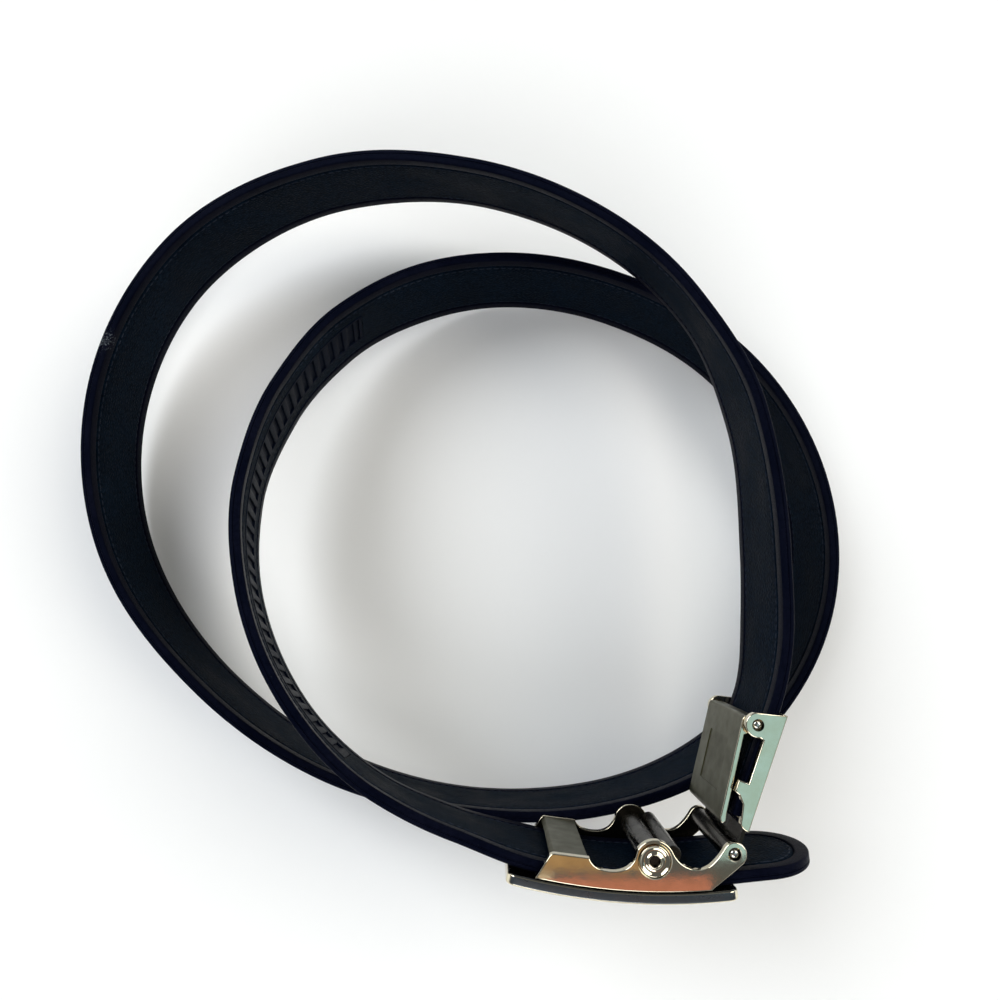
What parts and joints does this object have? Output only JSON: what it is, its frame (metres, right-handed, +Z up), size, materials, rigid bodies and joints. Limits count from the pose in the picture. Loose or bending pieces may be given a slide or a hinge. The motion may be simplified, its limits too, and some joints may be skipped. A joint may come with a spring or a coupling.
{
  "type": "ratchet belt",
  "caption": "Leather belt with a ratchet buckle, fastened and coiled to stand on its edge, with a bowed plate, sprung pawl and hinged strap clamp.",
  "frame": {"origin": "middle of the box's base, on the surface that the coiled strap stands on", "axes": "+Z up across the strap's width; +X to the right in the picture, along the buckle plate; +Y away from the buckle plate, towards the far side of the coil"},
  "size_m": [0.2524, 0.227, 0.0757],
  "materials": {
    "strap_leather": "smooth, semi-matt, near-black navy",
    "strap_lining": "fine crackled grain, matt, dark blue",
    "ratchet_track": "moulded, matt",
    "gold_metal": "polished pale gold plate",
    "dark_metal": "dark cast and turned steel"
  },
  "bodies": {
    "belt": {"strap_leather": "strap_leather", "strap_lining": "strap_lining", "ratchet_track": "ratchet_track", "buckle_plate": "gold_metal", "buckle_frame": "gold_metal", "pawl_axle": "gold_metal", "hinge_pin": "dark_metal", "clamp_base": "gold_metal", "clamp_pin": "dark_metal"},
    "pawl": {"pawl": "dark_metal"},
    "flap": {"clamp_flap": "gold_metal"}
  },
  "joints": [
    {"name": "pawl_release", "type": "hinge", "parent": "belt", "child": "pawl", "pos_m": [0.05403, -0.10204, 0.0555], "axis": [0, 0, 1], "range_deg": [0, 20], "stiffness_Nm_per_rad": 0.01},
    {"name": "flap_hinge", "type": "hinge", "parent": "belt", "child": "flap", "pos_m": [0.08353, -0.06588, 0.0555], "axis": [0, 0, -1], "range_deg": [0, 90]}
  ]
}
